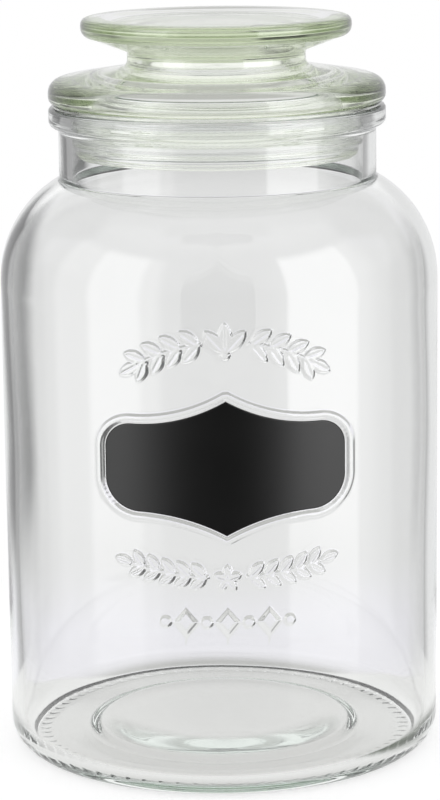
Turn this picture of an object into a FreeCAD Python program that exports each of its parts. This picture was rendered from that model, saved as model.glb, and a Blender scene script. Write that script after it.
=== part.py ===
"""Glass storage jar with a pressed glass lid, a finned seal and a chalk label.

One straight-sided jar with a round shoulder, a wide neck and a bead round its
mouth.  A hollow pressed lid with a broad flat knob rests on it.  A soft ring
with three fins is stretched over the lid's plug and fills the gap to the neck.
A shield-shaped black label lies on the front, inside a raised frame of glass.

Frame: the origin is the centre of the base, +Z is up and the label faces -Y.
Sizes are in millimetres and live in the spreadsheet named Sizes.
"""
import FreeCAD, Part
import math
import os
import re

import Sketcher

SIZES = (
    # the jar's outside
    ("body_radius", 80.0, "outside of the straight body"),
    ("jar_height", 237.0, "top of the jar's mouth"),
    ("heel_height", 9.0, "where the round heel meets the straight body"),
    ("heel_round", 10.0, "radius of the heel"),
    ("heel_in", 6.0, "how far the ring that the jar stands on lies inside the body"),
    ("bearing_width", 8.0, "width of that ring"),
    ("pushup_in", 16.0, "from that ring in to the raised centre under the base"),
    ("pushup_edge", 1.0, "height of the underside where the raised centre begins"),
    ("pushup_rise", 2.8, "how far the raised centre steps up from there"),
    ("pushup_slope", 3.5, "width of that step"),
    ("shoulder_drop", 63.0, "from the mouth down to where the shoulder begins"),
    ("shoulder_round", 42.0, "radius of the shoulder"),
    ("neck_radius", 57.7, "outside of the neck"),
    ("bead_proud", 3.5, "how far the bead round the mouth stands out from the neck"),
    ("bead_tall", 7.0, "height of that bead"),
    ("bead_round", 2.0, "lower edge of the bead"),
    ("lip_round", 1.4, "outer edge of the mouth"),
    # the jar's inside
    ("wall", 4.4, "thickness of body and shoulder"),
    ("neck_wall", 4.7, "thickness of the neck"),
    ("mouth_bevel", 1.0, "inner edge of the mouth"),
    ("floor_glass", 4.2, "thickness of the bottom"),
    ("floor_out", 1.5, "how far the step in the floor lies outside the one below it"),
    ("floor_round", 7.0, "radius between floor and wall"),
    # the lid
    ("seat_gap", 1.2, "thickness of the seal's flange between jar and lid"),
    ("rim_out", 0.0, "how far the lid's rim stands out past the bead"),
    ("rim_under_round", 2.2, "lower edge of the rim"),
    ("rim_straight", 3.9, "top of the rim's upright face above the seat"),
    ("rim_over_round", 5.0, "upper edge of the rim"),
    ("rim_over_rise", 4.1, "height of that upper edge"),
    ("rim_over_in", 4.4, "how far that upper edge comes in"),
    ("dome_rise", 12.4, "top of the lid's slope above the seat"),
    ("waist_radius", 32.3, "waist under the knob"),
    ("foot_round", 3.0, "fillet between slope and waist"),
    ("waist_rise", 18.4, "top of the waist above the seat"),
    ("knob_radius", 49.0, "outside of the knob"),
    ("knob_rise", 30.6, "flat top of the knob above the seat"),
    ("knob_edge_in", 3.4, "where the knob's underside meets its edge"),
    ("knob_edge_tall", 7.1, "from there up to the knob's top"),
    ("knob_edge_round", 3.6, "lower edge of the knob"),
    ("knob_top_round", 2.2, "upper edge of the knob"),
    ("dish_in", 8.0, "from the knob's edge in to the dished top"),
    ("dish_slope", 4.0, "width of the slope into the dish"),
    ("dish_depth", 1.3, "depth of the dished top"),
    # the lid's plug and hollow
    ("plug_play", 3.0, "gap between plug and neck, for the seal"),
    ("plug_depth", 19.0, "how far the plug reaches below the seat"),
    ("plug_wall", 4.6, "thickness of the plug"),
    ("plug_lip", 1.2, "ledge that keeps the seal on the plug"),
    ("plug_lip_height", 2.2, "height of that ledge"),
    ("hollow_shoulder", 3.6, "top of the plug's bore above the seat"),
    ("hollow_bevel", 3.0, "corners of the hollow"),
    ("dome_wall", 4.4, "thickness of the lid's slope at the waist"),
    ("waist_wall", 6.3, "thickness of the waist"),
    ("knob_floor", 13.0, "thickness of the knob over the hollow"),
    # the seal
    ("sleeve", 1.5, "thickness of the seal's sleeve"),
    ("flange_in", 1.6, "how far the seal's flange lies inside the bead"),
    ("fin_count", 3.0, "fins round the sleeve"),
    ("fin_first", 2.0, "first fin above the ledge"),
    ("fin_pitch", 4.2, "from fin to fin"),
    ("fin_root", 2.0, "thickness of a fin at the sleeve"),
    ("fin_tip", 0.8, "thickness of a fin at its edge"),
    ("fin_play", 0.25, "gap between a fin and the neck"),
    # the label and its frame
    ("label_half", 41.7, "half the width of the label"),
    ("label_bottom", 103.8, "lower shoulders of the label above the table"),
    ("label_tall", 31.2, "from there to the label's upper shoulders"),
    ("label_peak", 8.6, "upper point of the label above its upper shoulders"),
    ("label_foot", 7.9, "lower point of the label below its lower shoulders"),
    ("label_top_round", 9.0, "upper corners of the label"),
    ("label_bottom_round", 11.5, "lower corners of the label"),
    ("label_film", 0.4, "thickness of the label"),
    ("frame_gap", 0.6, "bare glass between label and frame"),
    ("frame_width", 2.7, "width of the raised frame"),
    ("frame_proud", 0.8, "how far the frame stands out"),
    ("frame_root", 1.0, "how far the frame is sunk into the wall it grows from"),
    ("stamp_margin", 12.0, "how far the shells behind label and frame run past them"),
    # for the cuts
    ("cut_over", 1.0, "how far the outline of a hollow runs past the glass"),
)

doc = FreeCAD.newDocument("StorageJar")
sheet = doc.addObject("Spreadsheet::Sheet", "Sizes")
for row, (alias, number, note) in enumerate(SIZES, start=1):
    sheet.set(f"A{row}", note)
    sheet.set(f"B{row}", str(number))
    sheet.setAlias(f"B{row}", alias)
doc.recompute()

ALIASES = re.compile(r"\b(" + "|".join(alias for alias, _, _ in SIZES) + r")\b")


def bound(formula):
    """The formula with every name of a size pointing at its cell."""
    return ALIASES.sub(r"Sizes.\1", formula)


def value(formula):
    """The formula's number at the sheet's present sizes."""
    return float(sheet.evalExpression(bound(formula)))


def bind(thing, **formulas):
    """Binds properties of an object to formulas over the sheet."""
    for name, formula in formulas.items():
        thing.setExpression(name, bound(formula))
    return thing


def origin_part(body, role):
    """The plane or axis of the body's own origin that has this role."""
    return next(part for part in body.Origin.OriginFeatures if part.Role == role)


def new_body(name):
    return doc.addObject("PartDesign::Body", name)


def arc_centre(start, end, radius, turn):
    """Centre of the arc from start to end; turn is 1 anticlockwise, -1 clockwise."""
    chord = end - start
    middle = (start + end) * 0.5
    side = FreeCAD.Vector(-chord.y, chord.x, 0).normalize() * turn
    return middle + side * math.sqrt(max(radius**2 - (chord.Length / 2) ** 2, 0.0))


def angle_of(point, centre):
    return math.atan2(point.y - centre.y, point.x - centre.x)


def add_edge(sketch, start, end, bend):
    """Adds a line, or an arc for a bend (radius formula, turn).

    Returns the geometry's number and its end numbers at start and at end.
    """
    if bend is None:
        number = sketch.addGeometry(Part.LineSegment(start, end), False)
        return number, 1, 2
    radius, turn = value(bend[0]), bend[1]
    centre = arc_centre(start, end, radius, turn)
    first, last = (start, end) if turn > 0 else (end, start)
    circle = Part.Circle(centre, FreeCAD.Vector(0, 0, 1), radius)
    arc = Part.ArcOfCircle(circle, angle_of(first, centre), angle_of(last, centre))
    number = sketch.addGeometry(arc, False)
    return (number, 1, 2) if turn > 0 else (number, 2, 1)


def hold_point(sketch, edge, end, across, up, label):
    """Ties one end of an edge to its two formulas; a 0 ties it to the axis."""
    for kind, axis, formula, letter in (
        ("DistanceX", -2, across, "x"),
        ("DistanceY", -1, up, "y"),
    ):
        if formula == "0":
            sketch.addConstraint(Sketcher.Constraint("PointOnObject", edge, end, axis))
            continue
        rule = Sketcher.Constraint(kind, edge, end, value(formula))
        number = sketch.addConstraint(rule)
        sketch.renameConstraint(number, f"{label}{letter}")
        sketch.setExpression(f"Constraints.{label}{letter}", bound(formula))


def add_outline(sketch, outline, label="p"):
    """A closed outline of (across, up[, bend]) entries, anticlockwise.

    Across and up are formulas; bend is the form of the edge to the next entry.
    """
    spots = [FreeCAD.Vector(value(spot[0]), value(spot[1]), 0) for spot in outline]
    bends = [spot[2] if len(spot) > 2 else None for spot in outline]
    edges = [
        add_edge(sketch, spots[i], spots[(i + 1) % len(spots)], bends[i])
        for i in range(len(spots))
    ]
    for i, (edge, first, last) in enumerate(edges):
        after, after_first, _ = edges[(i + 1) % len(edges)]
        sketch.addConstraint(
            Sketcher.Constraint("Coincident", edge, last, after, after_first)
        )
        hold_point(sketch, edge, first, outline[i][0], outline[i][1], f"{label}{i}")
        if bends[i] is not None:
            rule = Sketcher.Constraint("Radius", edge, value(bends[i][0]))
            number = sketch.addConstraint(rule)
            sketch.renameConstraint(number, f"{label}{i}r")
            sketch.setExpression(f"Constraints.{label}{i}r", bound(bends[i][0]))


def new_sketch(body, name, *outlines):
    """A sketch on the body's own XZ plane: across is X or the radius, up is Z."""
    sketch = body.newObject("Sketcher::SketchObject", name)
    sketch.AttachmentSupport = (origin_part(body, "XZ_Plane"), [""])
    sketch.MapMode = "FlatFace"
    for letter, outline in zip("pqr", outlines):
        add_outline(sketch, outline, letter)
    doc.recompute()
    return sketch


def turned(body, kind, name, outline):
    """A Revolution or a Groove of the outline about the body's Z axis."""
    sketch = new_sketch(body, name + "Outline", outline)
    feature = body.newObject("PartDesign::" + kind, name)
    feature.Profile = sketch
    feature.ReferenceAxis = (origin_part(body, "Z_Axis"), [""])
    feature.Angle = 360
    doc.recompute()
    return feature


# ---- the jar -----------------------------------------------------------------

BEARING_OUT = "(body_radius - heel_in)"
BEARING_IN = f"({BEARING_OUT} - bearing_width)"
PUSHUP = f"({BEARING_IN} - pushup_in)"
FLOOR_TOP = "(pushup_edge + pushup_rise + floor_glass)"
SHOULDER = "(jar_height - shoulder_drop)"
SHOULDER_IN = "(neck_radius - body_radius + shoulder_round)"
CREASE = f"{SHOULDER} + sqrt(shoulder_round^2 - {SHOULDER_IN}^2)"
MOUTH = "(neck_radius - neck_wall)"
MOUTH_IN = f"({MOUTH} - body_radius + shoulder_round)"
INNER_CREASE = f"{SHOULDER} + sqrt((shoulder_round - wall)^2 - {MOUTH_IN}^2)"
BEAD = "(neck_radius + bead_proud)"
BEAD_LOW = "(jar_height - bead_tall)"
FLARE = "(bead_proud - bead_round)"


def jar_outside():
    """Section of the jar as if it were solid glass."""
    return (
        ("0", "pushup_edge + pushup_rise"),
        (f"{PUSHUP} - pushup_slope", "pushup_edge + pushup_rise"),
        (PUSHUP, "pushup_edge"),
        (BEARING_IN, "0"),
        (BEARING_OUT, "0", ("heel_round", 1)),
        ("body_radius", "heel_height"),
        ("body_radius", SHOULDER, ("shoulder_round", 1)),
        ("neck_radius", CREASE),
        ("neck_radius", f"{BEAD_LOW} - {FLARE}"),
        (f"neck_radius + {FLARE}", BEAD_LOW, ("bead_round", 1)),
        (BEAD, f"{BEAD_LOW} + bead_round"),
        (BEAD, "jar_height - lip_round", ("lip_round", 1)),
        (f"{BEAD} - lip_round", "jar_height"),
        ("0", "jar_height"),
    )


def jar_inside():
    """Section of the space in the jar, run past the top of its mouth."""
    return (
        ("0", FLOOR_TOP),
        (f"{PUSHUP} - pushup_slope + floor_out", FLOOR_TOP),
        (f"{PUSHUP} + floor_out", "pushup_edge + floor_glass"),
        (BEARING_IN, "floor_glass"),
        ("body_radius - wall - floor_round", "floor_glass", ("floor_round", 1)),
        ("body_radius - wall", "floor_glass + floor_round"),
        ("body_radius - wall", SHOULDER, ("shoulder_round - wall", 1)),
        (MOUTH, INNER_CREASE),
        (MOUTH, "jar_height - mouth_bevel"),
        (f"{MOUTH} + mouth_bevel", "jar_height"),
        (f"{MOUTH} + mouth_bevel", "jar_height + cut_over"),
        ("0", "jar_height + cut_over"),
    )


LABEL_TOP = "(label_bottom + label_tall)"


def shield(out):
    """The label's outline, grown outwards by the formula out.

    Two pointed ogees, above and below, joined by round corners and upright sides.
    Grown outwards, the corners' arcs widen and the hollow arcs tighten about the
    same centres, so the grown outline stays at one distance.
    """
    top_x = "(label_half - label_top_round)"
    foot_x = "(label_half - label_bottom_round)"
    top_arc = f"(({top_x}^2 + label_peak^2) / (2 * label_peak))"
    foot_arc = f"(({foot_x}^2 + label_foot^2) / (2 * label_foot))"
    top = f"({LABEL_TOP} + {out})"
    foot = f"(label_bottom - {out})"
    peak = f"{LABEL_TOP} + {top_arc} - sqrt(({top_arc} - {out})^2 - {top_x}^2)"
    point = f"label_bottom - {foot_arc} + sqrt(({foot_arc} - {out})^2 - {foot_x}^2)"
    side = f"label_half + {out}"
    foot_bend = (f"{foot_arc} - {out}", -1)
    top_bend = (f"{top_arc} - {out}", -1)
    foot_corner = (f"label_bottom_round + {out}", 1)
    top_corner = (f"label_top_round + {out}", 1)
    return (
        ("0", point, foot_bend),
        (foot_x, foot, foot_corner),
        (side, "label_bottom + label_bottom_round"),
        (side, f"{LABEL_TOP} - label_top_round", top_corner),
        (top_x, top, top_bend),
        ("0", peak, top_bend),
        (f"-{top_x}", top, top_corner),
        (f"-({side})", f"{LABEL_TOP} - label_top_round"),
        (f"-({side})", "label_bottom + label_bottom_round", foot_corner),
        (f"-{foot_x}", foot, foot_bend),
    )


def curved_shell(name, inner, outer):
    """A thin upright tube about the jar's axis, at the label's height."""
    low = "label_bottom - label_foot - stamp_margin"
    tall = "label_foot + label_tall + label_peak + 2 * stamp_margin"
    solids = []
    for suffix, radius in (("Outer", outer), ("Inner", inner)):
        solid = doc.addObject("Part::Cylinder", name + suffix)
        bind(solid, Radius=radius, Height=tall)
        solid.setExpression("Placement.Base.z", bound(low))
        solids.append(solid)
    shell = doc.addObject("Part::Cut", name)
    shell.Base, shell.Tool = solids
    return shell


def stamped(name, outlines, inner, outer, label):
    """The part of a thin tube that lies behind outlines drawn on the front plane."""
    body = new_body(name + "Stamp")
    sketch = new_sketch(body, name + "Outline", *outlines)
    pad = body.newObject("PartDesign::Pad", name + "Pad")
    pad.Profile = sketch
    bind(pad, Length="body_radius + stamp_margin")
    doc.recompute()
    if pad.Shape.BoundBox.YMin > -1:
        pad.Reversed = True
    patch = doc.addObject("Part::Common", name)
    patch.Base = body
    patch.Tool = curved_shell(name + "Shell", inner, outer)
    patch.Label = label
    doc.recompute()
    return patch


def make_jar():
    """Blown jar: turned outside, hollowed inside, with a raised frame on its front."""
    body = new_body("JarBody")
    turned(body, "Revolution", "JarBlank", jar_outside())
    turned(body, "Groove", "JarHollow", jar_inside())
    frame = stamped(
        "FrameRing",
        (shield("(frame_gap + frame_width)"), shield("frame_gap")),
        "body_radius - frame_root",
        "body_radius + frame_proud",
        "raised frame",
    )
    jar = doc.addObject("Part::Fuse", "Jar")
    jar.Base = body
    jar.Tool = frame
    jar.Refine = True
    jar.Label = "jar"
    return jar


def make_label():
    """Thin black film on the glass inside the frame."""
    return stamped(
        "LabelFilm",
        (shield("0"),),
        "body_radius",
        "body_radius + label_film",
        "chalk_label",
    )


# ---- the lid -----------------------------------------------------------------

SEAT = "(jar_height + seat_gap)"
PLUG = f"({MOUTH} - plug_play)"
PLUG_BORE = f"({PLUG} - plug_wall)"
PLUG_END = f"({SEAT} - plug_depth)"
LEDGE = f"({PLUG_END} + plug_lip_height)"
RIM = f"({BEAD} + rim_out)"
RIM_TOP = f"({SEAT} + rim_straight)"
KNOB_TOP = f"({SEAT} + knob_rise)"
KNOB_EDGE = f"({KNOB_TOP} - knob_edge_tall)"
DISH = "(knob_radius - dish_in)"
DISH_FLOOR = f"({KNOB_TOP} - dish_depth)"
WAIST_BORE = "(waist_radius - waist_wall)"
HOLLOW_TOP = f"({SEAT} + hollow_shoulder)"
HOLLOW_RISE = f"({SEAT} + dome_rise - dome_wall)"
CEILING = f"({DISH_FLOOR} - knob_floor)"


def lid_outside():
    """Section of the lid as if it were solid: plug, rim, slope, waist and knob."""
    return (
        ("0", PLUG_END),
        (PLUG, PLUG_END),
        (f"{PLUG} + plug_lip", f"{PLUG_END} + plug_lip"),
        (f"{PLUG} + plug_lip", LEDGE),
        (PLUG, LEDGE),
        (PLUG, SEAT),
        (f"{RIM} - rim_under_round", SEAT, ("rim_under_round", 1)),
        (RIM, f"{SEAT} + rim_under_round"),
        (RIM, RIM_TOP, ("rim_over_round", 1)),
        (f"{RIM} - rim_over_in", f"{RIM_TOP} + rim_over_rise"),
        ("waist_radius + foot_round", f"{SEAT} + dome_rise", ("foot_round", -1)),
        ("waist_radius", f"{SEAT} + dome_rise + foot_round"),
        ("waist_radius", f"{SEAT} + waist_rise"),
        ("knob_radius - knob_edge_in", KNOB_EDGE, ("knob_edge_round", 1)),
        ("knob_radius", f"{KNOB_EDGE} + knob_edge_round"),
        ("knob_radius", f"{KNOB_TOP} - knob_top_round", ("knob_top_round", 1)),
        ("knob_radius - knob_top_round", KNOB_TOP),
        (DISH, KNOB_TOP),
        (f"{DISH} - dish_slope", DISH_FLOOR),
        ("0", DISH_FLOOR),
    )


def lid_inside():
    """Section of the hollow that the press leaves: plug bore, slope and waist bore."""
    return (
        ("0", f"{PLUG_END} - cut_over"),
        (PLUG_BORE, f"{PLUG_END} - cut_over"),
        (PLUG_BORE, HOLLOW_TOP),
        (f"{PLUG_BORE} - hollow_bevel", f"{HOLLOW_TOP} + hollow_bevel"),
        (f"{WAIST_BORE} + hollow_bevel", HOLLOW_RISE),
        (WAIST_BORE, f"{HOLLOW_RISE} + hollow_bevel"),
        (WAIST_BORE, f"{CEILING} - hollow_bevel"),
        (f"{WAIST_BORE} - hollow_bevel", CEILING),
        ("0", CEILING),
    )


def make_lid():
    """Pressed lid, hollow from below right up into its knob."""
    body = new_body("Lid")
    turned(body, "Revolution", "LidBlank", lid_outside())
    turned(body, "Groove", "LidHollow", lid_inside())
    body.Label = "lid"
    return body


# ---- the seal ----------------------------------------------------------------


def seal_section():
    """Sleeve on the plug, flange between jar and lid, and a loop of tapered fins."""
    skin = f"({PLUG} + sleeve)"
    tip = f"({MOUTH} - fin_play)"
    flange = f"({BEAD} - flange_in)"
    outline = [(PLUG, LEDGE), (skin, LEDGE)]
    for number in range(int(value("fin_count"))):
        root = f"({LEDGE} + fin_first + {number} * fin_pitch)"
        slope = "(fin_root - fin_tip)"
        outline += [
            (skin, root),
            (tip, f"{root} + {slope}"),
            (tip, f"{root} + fin_root"),
            (skin, f"{root} + fin_root"),
        ]
    outline += [
        (skin, "jar_height"),
        (flange, "jar_height"),
        (flange, SEAT),
        (PLUG, SEAT),
    ]
    return outline


def make_seal():
    """Soft clear ring stretched over the plug."""
    body = new_body("Seal")
    turned(body, "Revolution", "SealRing", seal_section())
    body.Label = "seal"
    return body


# ---- check and write ---------------------------------------------------------

pieces = [make_jar(), make_lid(), make_seal(), make_label()]
doc.recompute()

for thing in doc.Objects:
    if {"Invalid", "Error"} & set(thing.State):
        raise RuntimeError(f"{thing.Name} did not build: {thing.State}")
for piece in pieces:
    shape = piece.Shape
    if shape.isNull() or not shape.isValid() or len(shape.Solids) != 1:
        raise RuntimeError(f"{piece.Label} is not one valid solid")

os.makedirs("parts", exist_ok=True)
for piece in pieces:
    piece.Shape.exportStep(f"parts/{piece.Label}.step")
    box = piece.Shape.BoundBox
    print(
        f"{piece.Label}: {piece.Shape.Volume / 1000:.1f} cm3, "
        f"z {box.ZMin:.2f} to {box.ZMax:.2f}, y {box.YMin:.2f} to {box.YMax:.2f}, "
        f"width {box.XLength:.2f}"
    )
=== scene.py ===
"""Looks of a glass storage jar: blown body, pressed lid, finned seal, chalk label.

Lengths are in millimetres and become metres in put_mesh and in the shaders.
The jar's axis is Z, its label faces -Y, and turn angles are counted from -Y
towards +X.
"""

import math

import bpy
import numpy as np
from mathutils import Matrix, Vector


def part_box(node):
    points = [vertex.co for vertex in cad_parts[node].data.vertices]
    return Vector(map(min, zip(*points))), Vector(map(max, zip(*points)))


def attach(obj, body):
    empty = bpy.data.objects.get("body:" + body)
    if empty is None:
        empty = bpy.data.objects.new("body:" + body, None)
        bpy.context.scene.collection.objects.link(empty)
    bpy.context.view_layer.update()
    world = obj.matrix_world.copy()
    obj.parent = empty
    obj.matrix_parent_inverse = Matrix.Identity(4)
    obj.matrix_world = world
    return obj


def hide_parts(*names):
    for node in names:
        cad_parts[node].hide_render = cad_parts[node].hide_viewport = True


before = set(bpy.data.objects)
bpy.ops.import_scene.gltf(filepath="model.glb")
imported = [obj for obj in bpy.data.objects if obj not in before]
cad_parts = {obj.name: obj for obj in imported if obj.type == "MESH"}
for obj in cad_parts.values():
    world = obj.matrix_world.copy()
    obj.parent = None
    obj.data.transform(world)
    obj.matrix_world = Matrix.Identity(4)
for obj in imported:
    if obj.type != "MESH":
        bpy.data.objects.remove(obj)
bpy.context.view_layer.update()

MM = 0.001

# ---- sizes that the frame gives ----------------------------------------------

JAR_LOW, JAR_HIGH = (np.array(corner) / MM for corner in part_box("jar"))
LID_LOW, LID_HIGH = (np.array(corner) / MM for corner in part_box("lid"))
LABEL_LOW, LABEL_HIGH = (np.array(corner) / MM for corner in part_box("chalk_label"))
SEAL_HIGH = np.array(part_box("seal")[1]) / MM

BODY = JAR_HIGH[0]                  # outside radius of the straight body
MOUTH_TOP = JAR_HIGH[2]             # top of the mouth
PROUD = -JAR_LOW[1] - BODY          # how far frame and ornament stand out
SEAT = SEAL_HIGH[2]                 # underside of the lid's rim
FLANGE = SEAL_HIGH[0]               # outside radius of the seal's flange
LID_RADIUS = LID_HIGH[0]
KNOB_TOP = LID_HIGH[2]
PLUG_END = LID_LOW[2]
LABEL_HALF = LABEL_HIGH[0]          # half width of the label
LABEL_PEAK = LABEL_HIGH[2]
LABEL_FOOT = LABEL_LOW[2]
LABEL_FACE = -LABEL_LOW[1]          # radius of the label's front

# ---- sizes beside them, which follow the part's own --------------------------

WALL = 4.4
HEEL_RISE = 9.0                     # height of the heel round's centre
HEEL_ROUND = 10.0
BEARING_IN = 66.0                   # the ring that the jar stands on
BEARING_OUT = 74.0
PUSHUP = 50.0                       # radius where the pushed-up middle starts
PUSHUP_HIGH = 3.8                   # how far that is pushed up
PUSHUP_SLOPE = 3.5                  # width of its steep edge
PUSHUP_FOOT = 1.0                   # height of the bottom where that edge starts
FLOOR = 4.2                         # thickness of the bottom
FLOOR_ROUND = 7.0
SHOULDER = 174.0                    # where the shoulder leaves the body
SHOULDER_ROUND = 42.0
NECK = 57.7
MOUTH = 53.0
MOUTH_CUT = 1.2                     # chamfer inside the mouth
BEAD = 61.2
BEAD_LOW = 230.0
BEAD_ROUND = 2.0
RIM_ROUND = 1.4                     # between bead and mouth

PLUG = 50.0                         # the lid's plug, its hollow and its lip
PLUG_HOLLOW = 45.4
LIP = 51.2
LIP_HIGH = 2.2
KNOB = 49.0                         # outside radius of the knob
WAIST = 32.3                        # and of the waist under it
WAIST_ROUND = 3.0
RIM_LOW_ROUND = 2.2                 # of the lid's rim, below and above
RIM_TOP_ROUND = 5.0
KNOB_LOW_ROUND = 3.6
KNOB_TOP_ROUND = 2.2
DISH = 41.0                         # the knob's shallow dish
DISH_DEEP = 1.3

SLEEVE = 51.5                       # outside radius of the seal's sleeve
FINS = 3
FIN_PITCH = 4.2
FIN_ROOT = 2.0                      # height of a fin at the sleeve
FIN_EDGE = 0.8                      # and at its edge
HAIR = 0.02                         # air that keeps seal and glass apart

LABEL_TOP = 135.0                   # height of the label's upper shoulders
LABEL_BOTTOM = 103.8
TOP_CORNER = 9.0
BOTTOM_CORNER = 11.5
FRAME_GAP = 0.6                     # from the label to the raised frame
FRAME_WIDTH = 2.7
FILM_LIFT = 0.03                    # air that keeps film and glass apart
FILM_EDGE = 0.3                     # width of the film's rounded edge

# ---- finish of the glass -----------------------------------------------------

KNURLS = 70                         # crescents round the base
KNURL_DEEP = 0.2
KNURL_IN, KNURL_OUT = 65.0, 70.4    # radii between which they lie
KNURL_BOW = 6.0                     # how far each one curves, in radians of a wave
BLOWN_SOFT = 0.45                   # softening of edges by flame and press
PRESSED_SOFT = 0.6
MOULDED_SOFT = 0.16
BLOWN_WAVE = 0.16                   # height of the waves inside jar and lid
PRESSED_WAVE = 0.07
FRAME_SOFT = 1.1                    # width of the flanks of frame and ornament
ORNAMENT_SOFT = 0.5
LOZENGE_SOFT = 2.2
COLUMNS = 144                       # round the plain parts of the jar
LID_COLUMNS = 192
SEAL_COLUMNS = 160
STEP = 0.1                          # along a section while it is softened
AXIS_GAP = 0.3                      # nearer the axis a fan of triangles closes a piece


# ---- curves of revolution ----------------------------------------------------

def arc(centre, radius, start, end):
    """Points of a circle's arc from start to end, in degrees, one every 3 degrees."""
    count = max(3, int(abs(end - start) / 3) + 1)
    turn = np.radians(np.linspace(start, end, count))
    return np.stack([centre[0] + radius * np.cos(turn), centre[1] + radius * np.sin(turn)], 1)


def section(*parts):
    """Joins points and arcs into one (radius, height) line."""
    return np.vstack([np.atleast_2d(np.asarray(part, float)) for part in parts])


def along(line):
    """Length walked along a line up to each of its points."""
    return np.concatenate([[0.0], np.cumsum(np.hypot(*np.diff(line, axis=0).T))])


def melted(line, soft, closed=False):
    """The line with every edge softened, as a flame leaves it.

    The line is walked in equal short steps and averaged under a bell curve whose
    spread is soft.  An open line is first mirrored through its two ends, so that
    it keeps them.
    """
    walk = along(line)
    steps = np.linspace(0.0, walk[-1], int(walk[-1] / STEP) + 1)
    fine = np.stack([np.interp(steps, walk, line[:, k]) for k in (0, 1)], 1)
    reach = int(4 * soft / STEP)
    bell = np.exp(-0.5 * (np.arange(-reach, reach + 1) * STEP / soft) ** 2)
    bell /= bell.sum()
    if closed:
        fine = fine[:-1]
        padded = np.vstack([fine[-reach:], fine, fine[:reach]])
    else:
        head = 2 * fine[0] - fine[1:reach + 1][::-1]
        tail = 2 * fine[-1] - fine[-reach - 1:-1][::-1]
        padded = np.vstack([head, fine, tail])
    return np.stack([np.convolve(padded[:, k], bell, "valid") for k in (0, 1)], 1)


def spaced(line, longest, turn, extra=None, closed=False):
    """Rows of the line, close together where it bends.

    Rows lie where a running sum passes whole numbers.  The sum grows by one over
    each longest mm, each turn degrees of bend, or as extra(line) asks.
    """
    ring = np.vstack([line, line[:1]]) if closed else line
    step = np.diff(ring, axis=0)
    size = np.hypot(*step.T)
    heading = np.unwrap(np.arctan2(step[:, 1], step[:, 0]))
    bend = np.abs(np.gradient(heading)) / np.maximum(size, 1e-9)
    bend = np.convolve(np.pad(bend, 8, "edge"), np.ones(17) / 17, "valid")
    need = np.maximum(1.0 / longest, bend / math.radians(turn))
    if extra is not None:
        need = np.maximum(need, extra(0.5 * (ring[1:] + ring[:-1])))
    total = np.concatenate([[0.0], np.cumsum(need * size)])
    count = int(math.ceil(total[-1]))
    marks = np.linspace(0.0, total[-1], count + 1)
    if closed:
        marks = marks[:-1]
    return np.stack([np.interp(marks, total, ring[:, k]) for k in (0, 1)], 1)


def even_turns(count):
    """Angles of count equal columns round the axis."""
    return np.linspace(-math.pi, math.pi, count, endpoint=False)


def front_turns(close, wide, half):
    """Angles close together within half of the front and wide apart behind.

    The three are in degrees.  The spacing grows smoothly over 20 degrees.
    """
    angle = np.linspace(-180.0, 180.0, 7201)
    away = np.clip((np.abs(angle) - half) / 20.0, 0.0, 1.0)
    gap = close * (wide / close) ** (away * away * (3 - 2 * away))
    total = np.concatenate([[0.0], np.cumsum(np.diff(angle) / gap[1:])])
    count = int(math.ceil(total[-1]))
    marks = np.linspace(0.0, total[-1], count + 1)[:-1]
    return np.radians(np.interp(marks, total, angle))


def stitched(first, low, second, high):
    """Triangles between two rings whose columns differ.

    Each edge of a ring meets the vertex of the other ring that lies level with
    its end, so the triangles close with no gap.
    """
    low_next = np.append(low[1:], low[0] + 2 * math.pi)
    high_next = np.append(high[1:], high[0] + 2 * math.pi)
    count_low, count_high = len(low), len(high)
    apex = np.searchsorted(high_next, low_next, "right") % count_high
    here = np.arange(count_low)
    down = np.stack([first + here, first + (here + 1) % count_low, second + apex], 1)
    apex = np.searchsorted(low_next, high_next, "left") % count_low
    here = np.arange(count_high)
    up = np.stack([second + (here + 1) % count_high, second + here, first + apex], 1)
    return np.vstack([down, up])


def no_relief(radius, height, angle, block):
    """Plain surface: nothing is added to the section."""
    return np.zeros_like(radius), np.zeros_like(radius)


def swept(rows, before, after, angles, relief, block):
    """Places and unit normals of one block of a solid of revolution.

    A place is (r sin a, -r cos a, h); its normal is the cross product of the slopes
    along the ring and along the section.  The rows before and after the block
    steady the slopes at its ends.
    """
    line = np.vstack([before, rows, after])
    walk = along(line)
    radius = line[:, 0][:, None] + 0 * angles
    height = line[:, 1][:, None] + 0 * angles
    out, up = relief(radius, height, angles[None, :] + 0 * radius, block)
    radius, height = radius + out, height + up
    turn = np.concatenate([[angles[-1] - 2 * math.pi], angles, [angles[0] + 2 * math.pi]])
    slopes = []
    for value in (radius, height):
        ringed = np.concatenate([value[:, -1:], value, value[:, :1]], 1)
        slopes.append((np.gradient(ringed, turn, axis=1)[:, 1:-1], np.gradient(value, walk, axis=0)))
    (radius_turn, radius_walk), (height_turn, height_walk) = slopes
    sine, cosine = np.sin(angles)[None, :], np.cos(angles)[None, :]
    ring = np.stack([radius_turn * sine + radius * cosine,
                     radius * sine - radius_turn * cosine, height_turn], -1)
    rise = np.stack([radius_walk * sine, -radius_walk * cosine, height_walk + 0 * sine], -1)
    normal = np.cross(ring, rise)
    normal /= np.maximum(np.linalg.norm(normal, axis=-1, keepdims=True), 1e-12)
    place = np.stack([radius * sine, -radius * cosine, height], -1)
    inner = slice(len(before), len(line) - len(after))
    return place[inner].reshape(-1, 3), normal[inner].reshape(-1, 3)


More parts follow.
